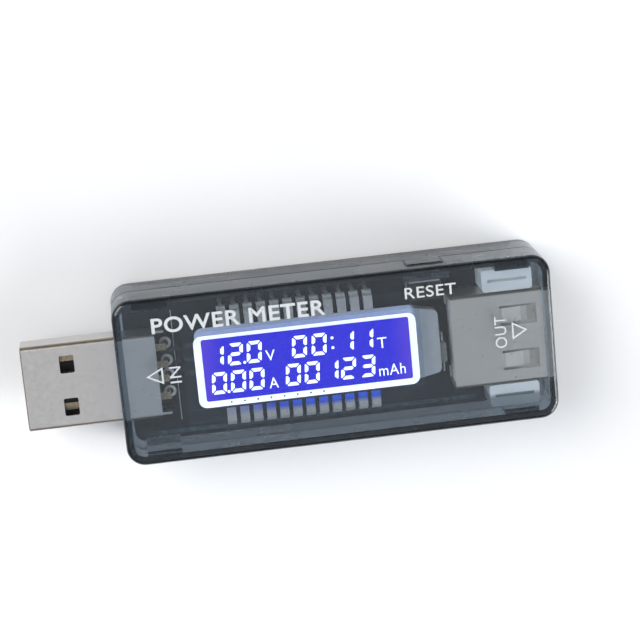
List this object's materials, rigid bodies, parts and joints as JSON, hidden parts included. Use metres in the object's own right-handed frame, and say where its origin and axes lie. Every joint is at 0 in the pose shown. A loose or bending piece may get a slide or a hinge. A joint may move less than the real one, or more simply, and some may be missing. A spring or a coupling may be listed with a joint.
{
  "type": "usb power meter",
  "caption": "Flat translucent power meter with a USB-A plug at one end, a USB-A socket at the other, a backlit display and a reset button on the side.",
  "frame": {"origin": "bottom centre of the whole object's box, on the flat back face of the casing", "axes": "+X from the plug to the socket along the length, +Z out of the display face, +Y towards the side with the reset button"},
  "size_m": [0.0734, 0.0236, 0.012],
  "materials": {
    "smoke_plastic": "translucent smoke grey, glossy",
    "button_plastic": "translucent grey, satin",
    "nickel_plate": "nickel plated sheet, satin",
    "white_plastic": "moulded white plastic",
    "gold_plate": "gold flash over copper",
    "tin_plate": "tin plated",
    "spring_steel": "sprung steel sheet",
    "solder_mask": "dark slate solder mask over glass laminate",
    "display_glass": "clear flat glass",
    "blue_film": "blue polarising film",
    "frosted_acrylic": "frosted translucent light guide",
    "white_film": "white reflective film",
    "lamp_resin": "moulded lamp body",
    "black_moulding": "moulded black resin",
    "tan_ceramic": "fired ceramic",
    "clear_plastic": "frosted clear plastic"
  },
  "bodies": {
    "meter": {"backlight_lamp": "lamp_resin", "backlight_reflector": "white_film", "board_pads": "gold_plate", "capacitor_terminals": "tin_plate", "chip_capacitors": "tan_ceramic", "chip_resistors": "black_moulding", "circuit_board": "solder_mask", "controller_chip": "black_moulding", "controller_leads": "tin_plate", "display_front_glass": "display_glass", "display_pins_left": "tin_plate", "display_pins_right": "tin_plate", "display_rear_glass": "display_glass", "front_cover": "smoke_plastic", "front_polariser": "blue_film", "lamp_leads": "tin_plate", "light_guide": "frosted_acrylic", "memory_chip": "black_moulding", "memory_leads": "tin_plate", "plug_contacts": "gold_plate", "plug_insulator": "black_moulding", "plug_shell": "nickel_plate", "rear_cover": "smoke_plastic", "rear_polariser": "blue_film", "regulator_leads": "tin_plate", "resistor_terminals": "tin_plate", "shunt_resistor": "black_moulding", "shunt_terminals": "tin_plate", "socket_contacts": "gold_plate", "socket_insulator": "white_plastic", "socket_shell": "nickel_plate", "socket_spacer_left": "clear_plastic", "socket_spacer_right": "clear_plastic", "solder_joints": "tin_plate", "switch_body": "black_moulding", "switch_cover": "spring_steel", "switch_dome": "spring_steel", "switch_terminals": "tin_plate", "voltage_regulator": "black_moulding"},
    "button": {"reset_button": "button_plastic", "switch_plunger": "black_moulding"}
  },
  "joints": [
    {"name": "reset_button_press", "type": "slide", "parent": "meter", "child": "button", "axis": [0, -1, 0], "range_m": [0, 0.00035], "stiffness_N_per_m": 2000, "springref_m": -0.0001, "deforming": ["switch_dome"]}
  ]
}
